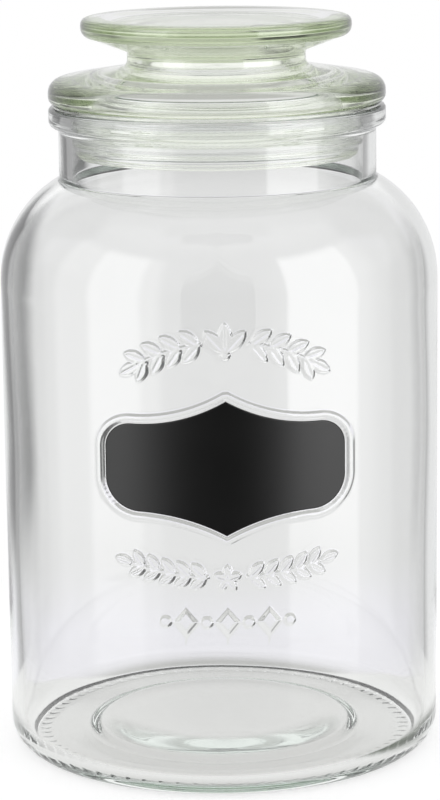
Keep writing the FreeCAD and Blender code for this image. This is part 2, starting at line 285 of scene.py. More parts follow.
def turned(blocks, closed=False, relief=no_relief):
    """A solid of revolution as (places in mm, normals, quads, triangles).

    blocks are (rows, angles) pairs, from the axis below round the section and
    back, or round a closed ring.  relief(radius, height, angle, block number)
    gives what is added to the radius and the height.
    """
    points, normals, quads, fans, starts = [], [], [], [], []
    total, last = 0, len(blocks) - 1
    for number, (rows, angles) in enumerate(blocks):
        before = blocks[number - 1][0][-1:] if number or closed else rows[:0]
        after = blocks[(number + 1) % len(blocks)][0][:1] if number < last or closed else rows[:0]
        place, normal = swept(rows, before, after, angles, relief, number)
        points.append(place)
        normals.append(normal)
        starts.append(total)
        wide = len(angles)
        cell = total + np.arange(len(rows) - 1)[:, None] * wide + np.arange(wide)
        right = total + np.arange(len(rows) - 1)[:, None] * wide + (np.arange(wide) + 1) % wide
        quads.append(np.stack([cell, right, right + wide, cell + wide], -1).reshape(-1, 4))
        total += len(rows) * wide
    pairs = [(number, number + 1) for number in range(last)] + ([(last, 0)] if closed else [])
    for this, that in pairs:
        rim = starts[this] + (len(blocks[this][0]) - 1) * len(blocks[this][1])
        fans.append(stitched(rim, blocks[this][1], starts[that], blocks[that][1]))
    if not closed:
        for block, row, order in ((0, 0, 1), (last, -1, -1)):
            rows, angles = blocks[block]
            wide = len(angles)
            ring = starts[block] + (row % len(rows)) * wide + np.arange(wide)
            pole = np.full(wide, total)
            fans.append(np.stack([pole, np.roll(ring, -1), ring][::order], 1))
            points.append([[0.0, 0.0, rows[row, 1]]])
            inward = rows[1, 0] - rows[0, 0] if row == 0 else rows[-1, 0] - rows[-2, 0]
            normals.append([[0.0, 0.0, -math.copysign(1.0, inward)]])
            total += 1
    return np.vstack(points), np.vstack(normals), np.vstack(quads), np.vstack(fans)


def put_mesh(name, points, normals, quads, fans, material, node, slot):
    """Makes a smooth mesh object in metres that stands for a node of the frame.

    Where normals are given they are the exact ones, so that glass bends light as
    the true surface would.
    """
    mesh = bpy.data.meshes.new(name)
    corners = np.concatenate([quads.ravel(), fans.ravel()]).astype(np.int32)
    sides = np.concatenate([np.full(len(quads), 4), np.full(len(fans), 3)])
    mesh.vertices.add(len(points))
    mesh.loops.add(len(corners))
    mesh.polygons.add(len(sides))
    mesh.vertices.foreach_set("co", (np.asarray(points) * MM).astype(np.float32).ravel())
    mesh.loops.foreach_set("vertex_index", corners)
    starts = np.concatenate([[0], np.cumsum(sides)[:-1]]).astype(np.int32)
    mesh.polygons.foreach_set("loop_start", starts)
    mesh.polygons.foreach_set("use_smooth", np.ones(len(sides), bool))
    mesh.update(calc_edges=True)
    if mesh.validate():
        raise RuntimeError(name + " had faulty faces")
    if normals is not None:
        mesh.normals_split_custom_set_from_vertices(normals)
    mesh.materials.append(material)
    piece = bpy.data.objects.new(name, mesh)
    bpy.context.scene.collection.objects.link(piece)
    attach(piece, "root")
    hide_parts(node)
    return piece


# ---- nodes -------------------------------------------------------------------

def linear(code):
    """Linear RGBA of an sRGB hex value."""
    parts = [int(code[k:k + 2], 16) / 255 for k in (1, 3, 5)]
    return [c / 12.92 if c <= 0.04045 else ((c + 0.055) / 1.055) ** 2.4 for c in parts] + [1.0]


def add(tree, kind, settings=(), **inputs):
    """Adds a node; settings are its properties, inputs are values or sockets by name."""
    node = tree.nodes.new(kind)
    for key, value in dict(settings).items():
        setattr(node, key, value)
    for key, value in inputs.items():
        socket = node.inputs[int(key[1:])] if key[1:].isdigit() else node.inputs[key.replace("_", " ")]
        if isinstance(value, bpy.types.NodeSocket):
            tree.links.new(value, socket)
        else:
            socket.default_value = value
    return node


def new_material(name):
    """An empty node material and its output node."""
    material = bpy.data.materials.new(name)
    material.use_nodes = True
    material.node_tree.nodes.clear()
    return material, material.node_tree, add(material.node_tree, "ShaderNodeOutputMaterial")


def glass(name, tint, depth, ripple):
    """Soda-lime glass, clear and fire-polished.

    tint is what is left of white after depth mm of glass, as a hex value: iron in
    the melt shows green only where the glass is thick.  ripple is the width and
    height in mm of the faint unevenness that the mould leaves under the polish,
    which makes straight reflections waver.
    """
    material, tree, out = new_material(name)
    place = add(tree, "ShaderNodeTexCoord")
    uneven = add(tree, "ShaderNodeTexNoise", Vector=place.outputs["Object"],
                 Scale=1 / (ripple[0] * MM), Detail=1.0)
    bump = add(tree, "ShaderNodeBump", Height=uneven.outputs["Fac"],
               Strength=1.0, Distance=ripple[1] * MM)
    shader = add(tree, "ShaderNodeBsdfPrincipled", Base_Color=(1, 1, 1, 1), Roughness=0.0,
                 IOR=1.52, Transmission_Weight=1.0, Normal=bump.outputs["Normal"])
    loss = -np.log(linear(tint)[:3]) / (depth * MM)
    density = float(loss.max() * 1.02)  # a little more than the loss of any one colour
    absorbed = add(tree, "ShaderNodeVolumeAbsorption",
                   Color=[*(1 - loss / density), 1.0], Density=density)
    tree.links.new(shader.outputs[0], out.inputs["Surface"])
    tree.links.new(absorbed.outputs[0], out.inputs["Volume"])
    return material


def seal_polymer():
    """Clear soft vinyl, moulded: nearly as clear as the glass, under a skin that
    is a little less bright in clouds about 9 mm wide.
    """
    material, tree, out = new_material("moulded clear vinyl")
    place = add(tree, "ShaderNodeTexCoord")
    cloud = add(tree, "ShaderNodeTexNoise", Vector=place.outputs["Object"],
                Scale=1 / (9 * MM), Detail=3.0)
    rough = add(tree, "ShaderNodeMapRange", Value=cloud.outputs["Fac"], To_Min=0.01, To_Max=0.03)
    shader = add(tree, "ShaderNodeBsdfPrincipled", Base_Color=linear("#fbfcfb"),
                 Roughness=rough.outputs[0], IOR=1.45, Transmission_Weight=1.0)
    tree.links.new(shader.outputs[0], out.inputs["Surface"])
    return material


def chalk_film():
    """Chalkboard vinyl, printed and die-cut: near black and satin, so that the
    soft boxes leave a broad grey sheen.

    Chalk needs a tooth of about 0.1 mm, which is drawn 0.35 mm wide so that it
    shows, and old wiping leaves smears about 14 mm wide.
    """
    material, tree, out = new_material("printed chalkboard vinyl")
    place = add(tree, "ShaderNodeTexCoord")
    tooth = add(tree, "ShaderNodeTexNoise", Vector=place.outputs["Object"],
                Scale=1 / (0.35 * MM), Detail=2.0)
    smear = add(tree, "ShaderNodeTexNoise", Vector=place.outputs["Object"],
                Scale=1 / (14 * MM), Detail=3.0)
    colour = add(tree, "ShaderNodeMix", {"data_type": "RGBA"}, Factor=smear.outputs["Fac"],
                 A=linear("#080808"), B=linear("#0c0c0c"))
    rough = add(tree, "ShaderNodeMapRange", Value=smear.outputs["Fac"], To_Min=0.33, To_Max=0.38)
    bump = add(tree, "ShaderNodeBump", Height=tooth.outputs["Fac"], Strength=0.5,
               Distance=0.02 * MM)
    shader = add(tree, "ShaderNodeBsdfPrincipled", Base_Color=colour.outputs["Result"],
                 Roughness=rough.outputs[0], IOR=1.5, Normal=bump.outputs["Normal"])
    tree.links.new(shader.outputs[0], out.inputs["Surface"])
    return material


# ---- the label's outline -----------------------------------------------------

def ogee(across, corner, level, tip):
    """Height of the label's upper or lower edge over a place across.

    From the side inwards: a quarter circle of the corner's radius, then a hollow
    circle that leaves it level and rises (or falls) to the tip over the centre.
    """
    rise = abs(tip - level)
    way = 1.0 if tip > level else -1.0
    run = LABEL_HALF - corner
    hollow = (run * run + rise * rise) / (2 * rise)
    x = np.minimum(np.abs(across), LABEL_HALF)
    inner = hollow - np.sqrt(np.maximum(hollow ** 2 - (run - x) ** 2, 0))
    outer = -(corner - np.sqrt(np.maximum(corner ** 2 - (x - run) ** 2, 0)))
    return level + way * np.where(x < run, inner, outer)


def label_top(across):
    """Upper edge: the ogee from the upper shoulders up to the peak."""
    return ogee(across, TOP_CORNER, LABEL_TOP, LABEL_PEAK)


def label_bottom(across):
    """Lower edge: the ogee from the lower shoulders down to the foot."""
    return ogee(across, BOTTOM_CORNER, LABEL_BOTTOM, LABEL_FOOT)


def outline_points():
    """Close points round the label's outline: both edges and both straight sides."""
    x = LABEL_HALF * np.sin(np.linspace(-math.pi / 2, math.pi / 2, 900))
    side = np.linspace(LABEL_BOTTOM + BOTTOM_CORNER, LABEL_TOP - TOP_CORNER, 60)
    edge = np.full_like(side, LABEL_HALF)
    return np.vstack([
        np.stack([x, label_top(x)], 1), np.stack([x, label_bottom(x)], 1),
        np.stack([edge, side], 1), np.stack([-edge, side], 1),
    ])


def outline_distance(x, z):
    """Distance from places on the front to the label's outline, negative inside.

    It is the least distance to any of the outline's points.
    """
    line = outline_points()
    nearest = np.full(x.shape, 1e9)
    for part in np.array_split(line, 12):
        gap = np.hypot(x[..., None] - part[:, 0], z[..., None] - part[:, 1]).min(-1)
        nearest = np.minimum(nearest, gap)
    inside = (np.abs(x) < LABEL_HALF) & (z < label_top(x)) & (z > label_bottom(x))
    return np.where(inside, -nearest, nearest)


# ---- raised ornament ---------------------------------------------------------

SPRIGS = (                          # arch, reach from the middle, leaf length and width
    ((62.0, 164.0, 1), (8.0, 31.5), (8.4, 4.1)),
    ((140.0, 81.0, -1), (6.5, 34.0), (7.0, 3.5)),
)
LEAF_LEAN = 0.72                    # radians between a leaf and its stem
LEAF_PITCH = 0.78                   # from leaf to leaf, as a share of its length
RIB_HALF = 0.28                     # half width of the rib sunk into a leaf
RIB_REACH = 0.36                    # half its length, as a share of the leaf's
RIB_SOFT = 0.7
STEM_HALF = 0.6
STEM_HIGH = 0.8                     # height of a stem, as a share of a leaf's
FAN_FOOT = (0.0, 160.6)             # three leaves over the label, from a berry
FAN_LEAF = (10.4, 4.6)
FAN_LEANS = (-0.75, 0.0, 0.75)
BERRY = (0.0, 159.6)
BERRY_RADIUS = 1.5
FLOWER = (0.0, 80.6)                # flower of five petals under the label
PETAL = (4.9, 3.0)
ROW_HEIGHT = 64.9                   # row of lozenges with dots between them
ROW_PITCH = 7.3
DOT_RADIUS = 1.9
LOZENGE = (3.6, 4.4)                # half width and half height


def ease(value):
    """0 below 0, 1 above 1 and a smooth S between."""
    t = np.clip(value, 0, 1)
    return t * t * (3 - 2 * t)


def raised(gap, soft):
    """Height share of a raised shape whose edge is where gap is 0."""
    return ease(0.5 - gap / soft)


def leaf_gap(a, b, length, width):
    """Distance to the edge of a pointed leaf: two arcs that cross at its ends."""
    tip, half = length / 2, width / 2
    away = (tip * tip - half * half) / (2 * half)
    bow = away + half
    a, b = np.abs(a), np.abs(b)
    at_tip = (a - tip) * away > b * tip
    return np.where(at_tip, np.hypot(b, a - tip), np.hypot(b + away, a) - bow)


def turned_to(u, v, centre, angle):
    """Places as seen from a centre, along and across a direction."""
    du, dv = u - centre[0], v - centre[1]
    return du * math.cos(angle) + dv * math.sin(angle), dv * math.cos(angle) - du * math.sin(angle)


def leaf_shape(u, v, foot, angle, leaf, soft):
    """Height share of a leaf that grows from its foot: pointed, with a sunk rib."""
    spot = (foot[0] + math.cos(angle) * leaf[0] / 2, foot[1] + math.sin(angle) * leaf[0] / 2)
    a, b = turned_to(u, v, spot, angle)
    rib = raised(np.maximum(np.abs(b) - RIB_HALF, np.abs(a) - leaf[0] * RIB_REACH), RIB_SOFT)
    return raised(leaf_gap(a, b, *leaf), soft) * (1 - 0.5 * rib)


def sprig(u, v, side, arch, reach, leaf, soft):
    """Height share of a laurel sprig that follows a round arch towards one side.

    arch is (radius, height at the middle, 1 for ends that hang or -1 for ends that
    rise).  A stem runs between the two reaches, with leaves in pairs that lean off
    it and a single leaf at its end.
    """
    bow, middle, hang = arch
    start, end = reach
    pivot = middle - hang * bow
    along_arch = np.arctan2(u * side, hang * (v - pivot)) * bow
    off_arch = np.hypot(u, v - pivot) - bow
    past_ends = np.maximum(start - along_arch, along_arch - end)
    height = STEM_HIGH * raised(np.maximum(np.abs(off_arch) - STEM_HALF, past_ends), soft)
    for place in np.append(np.arange(start + 1.0, end - 2.0, leaf[0] * LEAF_PITCH), end):
        turn = place / bow
        foot = (side * bow * math.sin(turn), pivot + hang * bow * math.cos(turn))
        outward = math.atan2(-hang * math.sin(turn), side * math.cos(turn))
        leans = (0.0,) if place == end else (LEAF_LEAN, -LEAF_LEAN)
        for tilt in leans:
            height = np.maximum(height, leaf_shape(u, v, foot, outward + tilt, leaf, soft))
    return height


def lozenge_gap(a, b, wide, tall):
    """Distance to the edge of a lozenge, negative inside."""
    share = (wide * tall) / math.hypot(wide, tall)
    return (np.abs(a) / wide + np.abs(b) / tall - 1) * share


def ornament(u, v):
    """Height share of the glass ornament above and below the label.

    u is the length round the wall from the front and v the height.  It is the
    greatest share of any of its leaves, petals, dots and lozenges.
    """
    soft = ORNAMENT_SOFT
    shapes = [sprig(u, v, side, *kind, soft) for side in (1, -1) for kind in SPRIGS]
    for lean in FAN_LEANS:
        shapes.append(leaf_shape(u, v, FAN_FOOT, math.pi / 2 + lean, FAN_LEAF, soft))
    shapes.append(raised(np.hypot(u - BERRY[0], v - BERRY[1]) - BERRY_RADIUS, soft))
    for number in range(5):
        way = math.radians(90 + 72 * number)
        shapes.append(leaf_shape(u, v, FLOWER, way, PETAL, soft))
    for place in range(-3, 4):
        a, b = u - ROW_PITCH * place, v - ROW_HEIGHT
        if place % 2:
            shapes.append(raised(np.hypot(a, b) - DOT_RADIUS, soft))
        else:
            shapes.append(raised(lozenge_gap(a, b, *LOZENGE), LOZENGE_SOFT))
    return np.max(shapes, axis=0)


# ---- the jar -----------------------------------------------------------------

def jar_lines():
    """Outside and inside of the jar's wall as two (radius, height) lines.

    The outside runs from the centre below to the middle of the mouth's rim, the
    inside from there down to the centre of the floor, which rises gently to the
    pushed-up middle.  The shoulder's arcs start level with the body's wall and
    end where they reach the neck's and the mouth's radius.
    """
    heel = (BODY - HEEL_ROUND, HEEL_RISE)
    low = KNURL_DEEP
    heel_start = -math.degrees(math.asin((HEEL_RISE - low) / HEEL_ROUND))
    shoulder = (BODY - SHOULDER_ROUND, SHOULDER)
    crest = math.degrees(math.acos((NECK - shoulder[0]) / SHOULDER_ROUND))
    inner_crest = math.degrees(math.acos((MOUTH - shoulder[0]) / (SHOULDER_ROUND - WALL)))
    flare = BEAD - BEAD_ROUND - NECK
    middle = (MOUTH + BEAD) / 2
    outside = section(
        (0, PUSHUP_HIGH), (PUSHUP - PUSHUP_SLOPE, PUSHUP_HIGH), (PUSHUP, PUSHUP_FOOT),
        (BEARING_IN, low),
        arc(heel, HEEL_ROUND, heel_start, 0),
        arc(shoulder, SHOULDER_ROUND, 0, crest),
        (NECK, BEAD_LOW - flare),
        (BEAD - BEAD_ROUND, BEAD_LOW),
        arc((BEAD - BEAD_ROUND, BEAD_LOW + BEAD_ROUND), BEAD_ROUND, -90, 0),
        arc((BEAD - RIM_ROUND, MOUTH_TOP - RIM_ROUND), RIM_ROUND, 0, 90),
        (middle, MOUTH_TOP),
    )
    inside = section(
        (middle, MOUTH_TOP), (MOUTH + MOUTH_CUT, MOUTH_TOP), (MOUTH, MOUTH_TOP - MOUTH_CUT),
        arc(shoulder, SHOULDER_ROUND - WALL, inner_crest, 0),
        (BODY - WALL, FLOOR + FLOOR_ROUND),
        arc((BODY - WALL - FLOOR_ROUND, FLOOR + FLOOR_ROUND), FLOOR_ROUND, 0, -90),
        (BEARING_IN, FLOOR), (BEARING_IN - 8, FLOOR + 0.6),
        (PUSHUP - 12, FLOOR + PUSHUP_HIGH - 0.4), (PUSHUP - 20, FLOOR + PUSHUP_HIGH),
        (0, FLOOR + PUSHUP_HIGH),
    )
    return outside, inside


def in_band(line, low, high, step):
    """Rows one step apart between two heights of the straight wall."""
    on_wall = (line[:, 1] > low) & (line[:, 1] < high) & (line[:, 0] > BODY - 0.5)
    return np.where(on_wall, 1.0 / step, 0.0)


RELIEF_BANDS = (                    # from, to and the rows' step, up the front
    (59.0, 71.0, 0.42), (73.5, 93.5, 0.42), (93.5, 106.0, 0.5),
    (106.0, 132.0, 1.4), (132.0, 148.0, 0.5), (148.0, 172.0, 0.42),
)


def relief_rows(line):
    """How close rows must lie where frame and ornament are."""
    return np.max([in_band(line, *band) for band in RELIEF_BANDS], axis=0)


def wavy(angle, height):
    """Slow waves of blown glass, between -1 and 1: sums of turns and height."""
    return (0.4 * np.sin(2 * angle + height / 31.0 + 0.6)
            + 0.35 * np.sin(3 * angle - height / 23.0 + 2.1)
            + 0.25 * np.sin(5 * angle + height / 14.0 + 4.0))


def jar_relief(radius, height, angle, block):
    """What the mould and the glass itself add to the jar's plain section.

    The base ring gets crescents: crests of a cosine of the turn, cut deep and
    narrow, whose phase bows with the square of the place across the ring.  The
    front gets the frame, a band at one distance from the label's outline, and
    the ornament.  The inside gets slow waves, fading out at floor and shoulder.
    """
    out, up = np.zeros_like(radius), np.zeros_like(radius)
    if block == 1:
        share = (radius - KNURL_IN) / (KNURL_OUT - KNURL_IN)
        band = ease(3 * share) * ease(3 * (1 - share))
        phase = KNURLS * angle + KNURL_BOW * (share - 0.5) ** 2
        up = up - KNURL_DEEP * band * ease(2.0 * np.cos(phase) - 0.9)
    if block == 3:
        front = np.abs(angle) < math.radians(40)
        x = BODY * np.sin(angle)
        near = front & (height > RELIEF_BANDS[0][0] - 3) & (height < RELIEF_BANDS[-1][1] + 2)
        shape = np.zeros_like(radius)
        gap = outline_distance(x[near], height[near])
        middle = FRAME_GAP + FRAME_WIDTH / 2
        rim = raised(np.abs(gap - middle) - FRAME_WIDTH / 2 + 0.25, FRAME_SOFT)
        shape[near] = np.maximum(rim, ornament(BODY * angle[near], height[near]))
        out = out + (PROUD - HAIR) * shape
    if block >= 5:
        free = ease((height - 10) / 20) * ease((200 - height) / 20)
        out = out + BLOWN_WAVE * free * wavy(angle, height)
    return out, up


def make_jar():
    """The jar: blocks of rows from the base's centre round to the floor's centre.

    Block 1 carries the crescents of the base, block 3 the frame and ornament and
    block 5 is the inside; rings of triangles join blocks whose columns differ.
    """
    outside, inside = (melted(line, BLOWN_SOFT) for line in jar_lines())
    outside = outside[outside[:, 0] > AXIS_GAP]
    inside = inside[inside[:, 0] > AXIS_GAP]
    walk = np.arange(len(outside))
    foot = outside[:, 1] < 30
    base = outside[foot & (outside[:, 0] < BEARING_IN - 0.6)]
    knurled = outside[foot & (walk >= len(base)) & (outside[:, 0] < BEARING_OUT + 1.8)]
    start = len(base) + len(knurled)
    low = start + np.argmax(outside[start:, 1] > RELIEF_BANDS[0][0] - 3)
    high = start + np.argmax(outside[start:, 1] > RELIEF_BANDS[-1][1] + 1)
    plain, front = even_turns(COLUMNS), front_turns(close=0.35, wide=5.0, half=34)
    blocks = [
        (spaced(base, longest=7, turn=9), plain),
        (spaced(knurled, longest=1, turn=9), even_turns(KNURLS * 8)),
        (spaced(outside[start:low], longest=7, turn=7), plain),
        (spaced(outside[low:high], longest=3, turn=7, extra=relief_rows), front),
        (spaced(outside[high:], longest=4, turn=6), plain),
        (spaced(inside[1:], longest=5, turn=6), plain),
    ]
    blown = glass("blown soda-lime glass", tint="#f3f6f4", depth=40, ripple=(26, 0.02))
    mesh = turned(blocks, relief=jar_relief)
    return put_mesh("jar_glass", *mesh, blown, "jar", "jar_glass")


# ---- the lid -----------------------------------------------------------------

def lid_line():
    """Outside of the pressed lid from below: plug and lip, rim, slope, waist, knob."""
    lip_top = PLUG_END + LIP_HIGH
    return section(
        (PLUG_HOLLOW, PLUG_END), (PLUG, PLUG_END), (LIP, PLUG_END + 1.2), (LIP, lip_top),
        (PLUG, lip_top), (PLUG, SEAT),
        arc((LID_RADIUS - RIM_LOW_ROUND, SEAT + RIM_LOW_ROUND), RIM_LOW_ROUND, -90, 0),
        arc((LID_RADIUS - RIM_TOP_ROUND, SEAT + 3.9), RIM_TOP_ROUND, 0, 80),
        (WAIST + WAIST_ROUND, SEAT + 12.4),
        arc((WAIST + WAIST_ROUND, SEAT + 15.4), WAIST_ROUND, 270, 180),
        (WAIST, SEAT + 18.4),
        (KNOB - 3.4, SEAT + 23.5),
        arc((KNOB - KNOB_LOW_ROUND, SEAT + 27.0), KNOB_LOW_ROUND, -68, 0),
        arc((KNOB - KNOB_TOP_ROUND, KNOB_TOP - KNOB_TOP_ROUND), KNOB_TOP_ROUND, 0, 90),
        (DISH, KNOB_TOP), (DISH - 4, KNOB_TOP - DISH_DEEP), (0, KNOB_TOP - DISH_DEEP),
    )


def lid_hollow():
    """Hollow side of the lid, from the ceiling under the knob down to the plug's end."""
    return section(
        (0, SEAT + 16.3), (23.0, SEAT + 16.3), (26.0, SEAT + 13.3), (26.0, SEAT + 11.0),
        (29.0, SEAT + 8.0), (PLUG_HOLLOW - 3, SEAT + 6.6), (PLUG_HOLLOW, SEAT + 3.6),
        (PLUG_HOLLOW, PLUG_END),
    )


def lid_waves(radius, height, angle, block):
    """The press leaves the lid's hollow, block 0, uneven in slow waves."""
    out = PRESSED_WAVE * wavy(angle, 3 * height) if block == 0 else np.zeros_like(radius)
    return out, np.zeros_like(radius)


def make_lid():
    """The lid: its hollow is block 0 and its outside, from the plug's end, block 1."""
    whole = melted(np.vstack([lid_hollow(), lid_line()[1:]]), PRESSED_SOFT)
    whole = whole[whole[:, 0] > AXIS_GAP]
    turn = np.argmin(whole[:, 1] + 0.01 * whole[:, 0])
    blocks = [
        (spaced(whole[:turn], longest=3, turn=6), even_turns(LID_COLUMNS)),
        (spaced(whole[turn:], longest=3, turn=5), even_turns(LID_COLUMNS)),
    ]
    pressed = glass("pressed soda-lime glass", tint="#dfe6d3", depth=60, ripple=(18, 0.012))
    mesh = turned(blocks, relief=lid_waves)
    return put_mesh("lid_glass", *mesh, pressed, "lid", "lid_glass")


# ---- the seal ----------------------------------------------------------------

def seal_line():
    """Closed section of the seal: sleeve on the lip, tapered fins, flange on the mouth."""
    ledge, inner, tip = PLUG_END + LIP_HIGH + HAIR, PLUG + 0.05, MOUTH - 0.25
    corners = [(inner, ledge), (SLEEVE, ledge)]
    for number in range(FINS):
        root = ledge + 2.0 + FIN_PITCH * number
        top = root + FIN_ROOT
        corners += [(SLEEVE, root), (tip, top - FIN_EDGE), (tip, top), (SLEEVE, top)]
    corners += [(SLEEVE, MOUTH_TOP + HAIR), (FLANGE, MOUTH_TOP + HAIR)]
    corners += [(FLANGE, SEAT - HAIR), (inner, SEAT - HAIR), (inner, ledge)]
    return section(corners)


def make_seal():
    """The seal: its closed section, edges a little rounded, turned round the axis."""
    line = melted(seal_line(), MOULDED_SOFT, closed=True)
    rows = spaced(line, longest=2.5, turn=16, closed=True)
    mesh = turned([(rows, even_turns(SEAL_COLUMNS))], closed=True)
    return put_mesh("seal_ring", *mesh, seal_polymer(), "seal", "seal_soft")


# ---- the label ---------------------------------------------------------------

def make_label():
    """The label: a grid over its outline, wrapped on the wall, front and back.

    Across, places follow a sine, close together at the sides; up, they run from
    the lower to the upper edge.  The front is lifted by the film's thickness and
    falls to the back along the outline, as the root of the distance from it.
    """
    across, up = 161, 81
    x = LABEL_HALF * np.sin(np.linspace(-math.pi / 2, math.pi / 2, across))[None, :]
    share = (1 - np.cos(np.linspace(0, math.pi, up)))[:, None] / 2
    z = label_bottom(x) * (1 - share) + label_top(x) * share
    x = x + 0 * z
    depth = np.clip(-outline_distance(x, z) / FILM_EDGE, 0, 1)
    edge = np.zeros_like(depth, bool)
    edge[[0, -1], :] = True
    edge[:, [0, -1]] = True
    film = (LABEL_FACE - BODY - FILM_LIFT - HAIR) * np.where(edge, 0, np.sqrt(depth))
    back = np.arange(across * up).reshape(up, across)
    front = np.where(edge, back, across * up + back)
    points = []
    for radius in (BODY + FILM_LIFT, BODY + FILM_LIFT + film):
        y = -np.sqrt(np.maximum(radius ** 2 - x ** 2, 0))
        points.append(np.stack([x, y, z], -1).reshape(-1, 3))
    quads = []
    for grid in (front, back[:, ::-1]):
        quads.append(np.stack([grid[:-1, :-1], grid[:-1, 1:], grid[1:, 1:], grid[1:, :-1]],
                              -1).reshape(-1, 4))
    quads = np.vstack(quads)
    used, renumbered = np.unique(quads, return_inverse=True)
    points = np.vstack(points)[used]
    fans = np.zeros((0, 3), int)
    mesh = (points, None, renumbered.reshape(-1, 4), fans)
    return put_mesh("label_film", *mesh, chalk_film(), "chalk_label", "label_film")


# ---- floor -------------------------------------------------------------------

FLOOR_HALF = 3.0                    # half width of the floor, in metres
MELT = (100, 240)                   # where the board melts into the backdrop
HEEL_EDGE = (64, 76)                # from under the jar to beside it
RIGHT_SHADE_WAY = (0.91, -0.42, 0.0)       # direction of the painted shade, right and forward
RIGHT_SHADE_EDGE = (70, 78)                # where the painted shade starts that way
RIGHT_SHADE_END = (100, 85)                # and how far from the axis it reaches
BACK_EDGE = (58, 66)                # behind the jar, where glass sees past the board
BACK_OUT = (72, 78)
BOARD_SHARE = 0.58                  # of matt board in what a direct look sees
BOARD_GLOW = 0.5964                 # and of plain white light
# painted shadow of the jar on the floor, as rays through glass see it: grey under the jar, paler
# beside it
SHADOW_UNDER_JAR = (0.56, 0.56, 0.545, 1)
SHADOW_BESIDE_JAR = (0.82, 0.82, 0.81, 1)
# painted shade on the floor at the right front, seen only through glass
RIGHT_SHADE = (0.16, 0.18, 0.15, 1)
WHITE = (1, 1, 1, 1)


def zone(tree, *steps):
    """Share of a zone with soft edges: the product of smooth steps.

    Each step is (value, start, end), 0 up to start, 1 past end and an S between.
    """
    share = 1.0
    for value, start, end in steps:
        step = add(tree, "ShaderNodeMapRange", {"interpolation_type": "SMOOTHSTEP"},
                   Value=value, From_Min=start, From_Max=end)
        share = add(tree, "ShaderNodeMath", {"operation": "MULTIPLY"},
                    _0=share, _1=step.outputs[0]).outputs[0]
    return share


def make_floor():
    """White painted board, matt, which takes the jar's shadow.

    A direct look sees it melt into plain white away from the jar.  Rays that come
    through glass see plain tones in its place, a painted shadow of the jar: grey under
    the jar, pale beside it, a dark patch of painted shade at the right front, which
    draws the heel's edge there, and the studio's backdrop past the jar's back.
    """
    material, tree, out = new_material("white painted studio board")
    place = add(tree, "ShaderNodeTexCoord").outputs["Object"]
    reach = add(tree, "ShaderNodeVectorMath", {"operation": "LENGTH"}, _0=place).outputs["Value"]
    right_shade_way = add(tree, "ShaderNodeVectorMath", {"operation": "DOT_PRODUCT"},
                   _0=place, _1=RIGHT_SHADE_WAY).outputs["Value"]
    back = add(tree, "ShaderNodeSeparateXYZ", Vector=place).outputs["Y"]
    ray = add(tree, "ShaderNodeLightPath")

    def soft(value, edge):
        """A step for zone, with its edge in mm."""
        return value, edge[0] * MM, edge[1] * MM

    grain = add(tree, "ShaderNodeTexNoise", Vector=place, Scale=1 / (1.5 * MM), Detail=4.0)
    colour = add(tree, "ShaderNodeMix", {"data_type": "RGBA"}, Factor=grain.outputs["Fac"],
                 A=linear("#f2f2f3"), B=linear("#f8f8f8"))
    matt = add(tree, "ShaderNodeBsdfDiffuse", Color=colour.outputs["Result"])
    dimmed = add(tree, "ShaderNodeMixShader", _0=1 - BOARD_SHARE, _1=matt.outputs[0])
    glow = add(tree, "ShaderNodeEmission", Color=WHITE, Strength=BOARD_GLOW)
    board = add(tree, "ShaderNodeAddShader", _0=dimmed.outputs[0], _1=glow.outputs[0])

    # painted shade: a dark patch on the floor at the right front, seen only through glass
    right_shade = zone(tree, soft(right_shade_way, RIGHT_SHADE_EDGE), soft(reach, RIGHT_SHADE_END))
    beside = add(tree, "ShaderNodeMix", {"data_type": "RGBA"}, Factor=right_shade,
                 A=SHADOW_BESIDE_JAR, B=RIGHT_SHADE)
    # painted shadow seen through glass: grey under the jar, paler beside it
    tone = add(tree, "ShaderNodeMix", {"data_type": "RGBA"},
               Factor=zone(tree, soft(reach, HEEL_EDGE)),
               A=SHADOW_UNDER_JAR, B=beside.outputs["Result"])
    shade = add(tree, "ShaderNodeEmission", Color=tone.outputs["Result"], Strength=1.0)
    near = add(tree, "ShaderNodeMixShader", _0=ray.outputs["Is Transmission Ray"],
               _1=board.outputs[0], _2=shade.outputs[0])

    clear = add(tree, "ShaderNodeBsdfTransparent")
    white = add(tree, "ShaderNodeEmission", Color=WHITE, Strength=1.0)
    beyond = add(tree, "ShaderNodeMixShader", _0=ray.outputs["Is Camera Ray"],
                 _1=clear.outputs[0], _2=white.outputs[0])
    melting = add(tree, "ShaderNodeMapRange", {"interpolation_type": "SMOOTHERSTEP"},
                  Value=reach, From_Min=MELT[0] * MM, From_Max=MELT[1] * MM)
    past = add(tree, "ShaderNodeMath", {"operation": "MULTIPLY"},
               _0=zone(tree, soft(back, BACK_EDGE), soft(reach, BACK_OUT)),
               _1=ray.outputs["Is Transmission Ray"])
    gone = add(tree, "ShaderNodeMath", {"operation": "MAXIMUM"},
               _0=melting.outputs[0], _1=past.outputs[0])
    whole = add(tree, "ShaderNodeMixShader", _0=gone.outputs[0], _1=near.outputs[0],
                _2=beyond.outputs[0])
    tree.links.new(whole.outputs[0], out.inputs["Surface"])

    half = FLOOR_HALF
    mesh = bpy.data.meshes.new("floor")
    mesh.from_pydata([(-half, -half, 0), (half, -half, 0), (half, half, 0), (-half, half, 0)],
                     [], [(0, 1, 2, 3)])
    mesh.materials.append(material)
    floor = bpy.data.objects.new("floor", mesh)
    bpy.context.scene.collection.objects.link(floor)
    return floor


# ---- studio ------------------------------------------------------------------

# A layer of the studio is (sides, levels, tone): sides are turn angles from the
# front towards +X and levels are angles above the horizon, each from, to and width
# of the soft edge outside them, in degrees.  Each layer covers the ones before it.
ALL = None
BOX_LEVELS = (-11.5, 34, 8)
FLAG_LEVELS = (-60, 8, 14)
STRIP_LEVELS = (-13, 6, 3)

